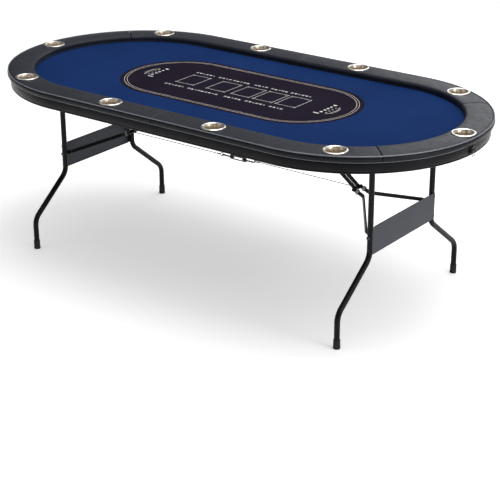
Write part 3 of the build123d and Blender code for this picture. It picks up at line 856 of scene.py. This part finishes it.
def cable(side, y, knee_x, far_x, far_radius):
    """Wire rope with a loop at each end, closed by pressed sleeves."""
    points, faces = [], []
    step = math.copysign(1, far_x - knee_x)
    near = knee_x + step * (KNEE_LOOP + 1.0)
    far = far_x - step * (far_radius + 1.0)
    count = int(abs(far - near) / ROPE_STEP)
    line = [(near + (far - near) * i / count, y, KNEE_Z) for i in range(count + 1)]
    laid_rope(points, faces, line, [(0, 0, 1)] * len(line), ROPE_RADIUS, ROPE_PITCH)
    for x, radius, towards in ((knee_x, KNEE_LOOP, step), (far_x, far_radius, -step)):
        begin = OPEN_ANGLE if towards > 0 else math.pi + OPEN_ANGLE
        end = begin + 2 * math.pi - 2 * OPEN_ANGLE
        loop, normals = loop_line(x, y, radius, begin, end)
        laid_rope(points, faces, loop, normals, ROPE_RADIUS, ROPE_PITCH)
        for sense in (1, -1):
            leave = begin if (sense > 0) == (towards > 0) else end
            start = Vector((x + radius * math.cos(leave), y, KNEE_Z + radius * math.sin(leave)))
            rise = math.copysign(LEAD_RISE, start.z - KNEE_Z)
            stop = Vector((x + towards * (radius + LEAD_LENGTH), y, KNEE_Z + rise))
            lead = [start.lerp(stop, t / 4) for t in range(5)]
            laid_rope(points, faces, lead, [(0, 1, 0)] * 5, ROPE_RADIUS - 0.1, ROPE_PITCH)
    body = f"{side}_cable_end"
    rope = add_object(f"{side}_wire_rope", points, faces, STRAND, body, smooth_angle=70)
    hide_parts(f"{side}_cable")
    for name, x, radius, towards in (("knee", knee_x, KNEE_LOOP, step), ("far", far_x, far_radius, -step)):
        sleeve(f"{side}_{name}_sleeve", body, x + towards * (radius + SLEEVE_GAP), towards, y)


def sleeve(name, body, start, sense, y):
    """A pressed sleeve on the rope, slightly flattened from side to side."""
    count, flat = 28, 0.86
    points = [
        (start + sense * along, y + side_y * flat, KNEE_Z + up)
        for radius, along in SLEEVE_PROFILE
        for side_y, up in circle(0, 0, radius, count)
    ]
    faces = grid_faces(len(SLEEVE_PROFILE), count, wrap_columns=True)
    add_object(name, points, faces, DARK_ZINC, body, flip=sense < 0, smooth_angle=35)


def thread(name, body, start, end, y):
    """A screw thread between two X stations, tapered at both ends."""
    radius, depth, pitch, count = 3.2, 0.3, 2.0, 24
    step, taper_length, taper_share = 0.25, 1.2, 0.28
    points = []
    steps = int(abs(end - start) / step)
    for i in range(steps + 1):
        x = start + (end - start) * i / steps
        edge = min(1.0, min(i, steps - i) * step / taper_length)
        for j in range(count):
            phase = (x / pitch + j / count) % 1.0
            ridge = abs(phase * 2 - 1)
            r = (radius - depth * (1 - ridge)) * (1 - taper_share * (1 - edge))
            a = 2 * math.pi * j / count
            points.append((x, y + r * math.cos(a), KNEE_Z + r * math.sin(a)))
    faces = grid_faces(steps + 1, count, wrap_columns=True) + end_faces(steps + 1, count)
    add_object(name, points, faces, DARK_ZINC, body, flip=end < start, smooth_angle=60)


# ---- carried-over hardware ------------------------------------------------------------------
EASE_ANGLE = 32


def refined(node, material, width):
    """The CAD node's shape with its sharp edges eased, standing in for the node."""
    source = nodes[node]
    mesh = source.data.copy()
    mesh.name = node + "_eased"
    work = bmesh.new()
    work.from_mesh(mesh)
    bmesh.ops.remove_doubles(work, verts=work.verts, dist=1e-6)
    bmesh.ops.dissolve_limit(work, angle_limit=math.radians(0.6), verts=work.verts, edges=work.edges)
    work.to_mesh(mesh)
    work.free()
    mesh.materials.clear()
    mesh.materials.append(material)
    if "custom_normal" in mesh.attributes:
        mesh.attributes.remove(mesh.attributes["custom_normal"])
    smooth(mesh, EASE_ANGLE)
    piece = bpy.data.objects.new(node + "_eased", mesh)
    bpy.context.scene.collection.objects.link(piece)
    ease = piece.modifiers.new("ease", "BEVEL")
    ease.width = width * MM
    ease.segments = 2
    ease.limit_method = "ANGLE"
    ease.angle_limit = math.radians(EASE_ANGLE)
    ease.harden_normals = True
    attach(piece, source["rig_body"])
    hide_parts(node)


def dress(node, material):
    """Gives a CAD node its finish."""
    piece = nodes[node]
    piece.data.materials.clear()
    piece.data.materials.append(material)


def hardware(side):
    dress(f"{side}_deck", BOARD)
    dress(f"{side}_batten", BATTEN)
    for name, material, slot, width in (
        ("leg_panel", PANEL, "panel_paint", 0.5),
        ("leg_brackets", COAT, "powder_coat", 0.6),
        ("arm_brackets", COAT, "powder_coat", 0.6),
        ("upper_arms", COAT, "powder_coat", 0.9),
        ("lower_arms", COAT, "powder_coat", 0.9),
        ("lock_rings", ZINC, "bright_zinc", 0.5),
        ("hinge_leaves", ZINC, "zinc", 0.3),
        ("leg_bolts", DARK_ZINC, "zinc", 0.5),
        ("leg_axle", COAT, "zinc", 0.6),
        ("knee_pin", ZINC, "zinc", 0.4),
    ):
        refined(f"{side}_{name}", material, width)
    for name in ("leg_front", "leg_back"):
        dress(f"{side}_{name}", COAT)
    dress(f"{side}_leg_feet", RUBBER)


for half in SIDES:
    top_soft_goods(half)
    playing_surface(half)
    cups(half)
    hardware(half)
cable("left", -CABLE_Y, -KNEE_X, EYE_X, EYE_LOOP)
cable("right", CABLE_Y, KNEE_X, HOOK_X, HOOK_LOOP)
for buckle_node in ("turnbuckle_eye", "turnbuckle_body", "turnbuckle_hook"):
    refined(buckle_node, DARK_ZINC, 0.3)
dress("hinge_pins", ZINC)
for latch_node in ("latch_base", "latch_lever", "latch_keeper"):
    refined(latch_node, LATCH, 0.3)
thread("left_hand_thread", "left_cable_end", *LEFT_THREAD, -CABLE_Y)
thread("right_hand_thread", "turnbuckle_screw", *RIGHT_THREAD, -CABLE_Y)
refined("latch_bail", DARK_ZINC, 0.25)


# ---- studio -----------------------------------------------------------------------------------
def studio_floor():
    floor_mesh = bpy.data.meshes.new("studio_floor")
    floor_mesh.from_pydata([(-30, -30, 0), (30, -30, 0), (30, 30, 0), (-30, 30, 0)], [], [(0, 1, 2, 3)])
    floor = bpy.data.objects.new("studio_floor", floor_mesh)
    bpy.context.scene.collection.objects.link(floor)
    look = Look("studio_paper", (0.93, 0.93, 0.93), 0.9, Specular_IOR_Level=0.1)
    look.rough(look.span(look.noise(3, 3), 0.86, 0.95))
    look.shader.inputs["Emission Color"].default_value = (1, 1, 1, 1)
    look.shader.inputs["Emission Strength"].default_value = 0.34
    floor_mesh.materials.append(look.mat)


def studio_dome():
    """A soft sky, brightest overhead, and dimmer towards the back left."""
    world = bpy.data.worlds.new("studio")
    bpy.context.scene.world = world
    world.use_nodes = True
    sky = world.node_tree.nodes["Background"]
    sky.inputs["Strength"].default_value = 0.9
    ray = world.node_tree.nodes.new("ShaderNodeTexCoord")
    split = world.node_tree.nodes.new("ShaderNodeSeparateXYZ")
    dome = world.node_tree.nodes.new("ShaderNodeValToRGB")
    stops = ((0.0, 0.50), (0.12, 0.20), (0.42, 0.36), (0.62, 1.0), (1.0, 1.25))
    for i, (place, level) in enumerate(stops):
        stop = dome.color_ramp.elements[i] if i < 2 else dome.color_ramp.elements.new(place)
        stop.position = place
        stop.color = (level, level, level * 1.01, 1)
    world.node_tree.links.new(ray.outputs["Generated"], split.inputs[0])
    world.node_tree.links.new(split.outputs["Z"], dome.inputs["Fac"])
    across = world.node_tree.nodes.new("ShaderNodeVectorMath")
    across.operation = "DOT_PRODUCT"
    across.inputs[1].default_value = (0.797, 0.604, 0.0)
    shade = world.node_tree.nodes.new("ShaderNodeMapRange")
    for key, value in (("From Min", -0.42), ("From Max", 0.16), ("To Min", 0.30), ("To Max", 1.12)):
        shade.inputs[key].default_value = value
    dim = world.node_tree.nodes.new("ShaderNodeVectorMath")
    dim.operation = "SCALE"
    world.node_tree.links.new(ray.outputs["Generated"], across.inputs[0])
    world.node_tree.links.new(across.outputs["Value"], shade.inputs["Value"])
    world.node_tree.links.new(dome.outputs["Color"], dim.inputs[0])
    world.node_tree.links.new(shade.outputs["Result"], dim.inputs["Scale"])
    world.node_tree.links.new(dim.outputs["Vector"], sky.inputs["Color"])


def studio_lamps():
    for name, place, aim, size, power in (
        ("overhead", (0.5, 0.4, 3.6), (0, 0, 0.7), 3.2, 66),
        ("front_left", (-2.6, -3.6, 2.8), (0, 0, 0.5), 2.4, 18),
        ("back_rim", (-0.7, 3.9, 2.3), (0.6, 0, 0.7), 2.0, 15),
        ("right", (4.2, -0.4, 1.6), (0.9, 0, 0.7), 1.6, 37),
    ):
        data = bpy.data.lights.new(name, "AREA")
        data.shape = "DISK"
        data.size = size
        data.energy = power
        lamp = bpy.data.objects.new(name, data)
        bpy.context.scene.collection.objects.link(lamp)
        lamp.location = place
        lamp.rotation_euler = (Vector(aim) - Vector(place)).to_track_quat("-Z", "Y").to_euler()


def camera():
    azimuth, elevation, roll = math.radians(37.18), math.radians(23.20), -0.0033108
    target, distance = Vector((0.81308, -1.00170, 0.600)), 4.59638
    right = Vector((math.cos(azimuth), math.sin(azimuth), 0))
    level = Vector((math.sin(azimuth), -math.cos(azimuth), 0))
    back = level * math.cos(elevation) + Vector((0, 0, math.sin(elevation)))
    right = right * math.cos(roll) + back.cross(right) * math.sin(roll)
    up = back.cross(right)
    data = bpy.data.cameras.new("photo_view")
    data.sensor_width = 36
    data.lens = 104.16
    view = bpy.data.objects.new("photo_view", data)
    bpy.context.scene.collection.objects.link(view)
    turn = Matrix((right, up, back)).transposed().to_4x4()
    view.matrix_world = Matrix.Translation(target + back * distance) @ turn
    bpy.context.scene.camera = view


studio_floor()
studio_dome()
studio_lamps()
camera()
bpy.context.scene.view_settings.view_transform = "Standard"
